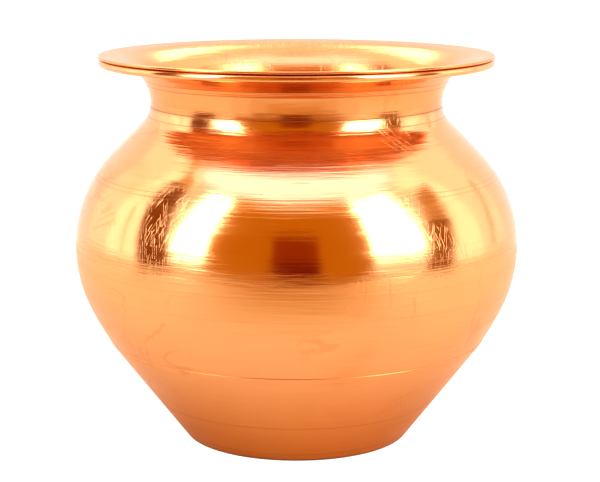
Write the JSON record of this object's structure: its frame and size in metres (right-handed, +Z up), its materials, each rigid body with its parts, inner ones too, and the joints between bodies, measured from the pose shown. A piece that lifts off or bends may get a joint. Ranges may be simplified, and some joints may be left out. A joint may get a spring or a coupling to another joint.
{
  "type": "kalash pot",
  "caption": "Spun copper kalash water pot with a flared, wire-stiffened rim, a hollow neck, a round belly and a cone foot, built from brazed sheet courses.",
  "frame": {"origin": "centre of the standing ring, on the floor", "axes": "+Z up along the pot's own axis of turning; -Y towards a viewer in front"},
  "size_m": [0.125, 0.125, 0.1088],
  "materials": {
    "polished_copper": "buffed bright, with fine turning lines",
    "satin_copper": "satin, brushed round the pot, with faint stains",
    "braze": "dull as-brazed filler"
  },
  "bodies": {
    "root": {"mouth_collar": "polished_copper", "rim_hoop": "polished_copper", "shoulder": "polished_copper", "belly_bowl": "satin_copper", "base_cup": "satin_copper", "rim_braze": "braze", "neck_braze": "braze", "belly_braze": "braze", "base_braze": "braze"}
  },
  "joints": []
}
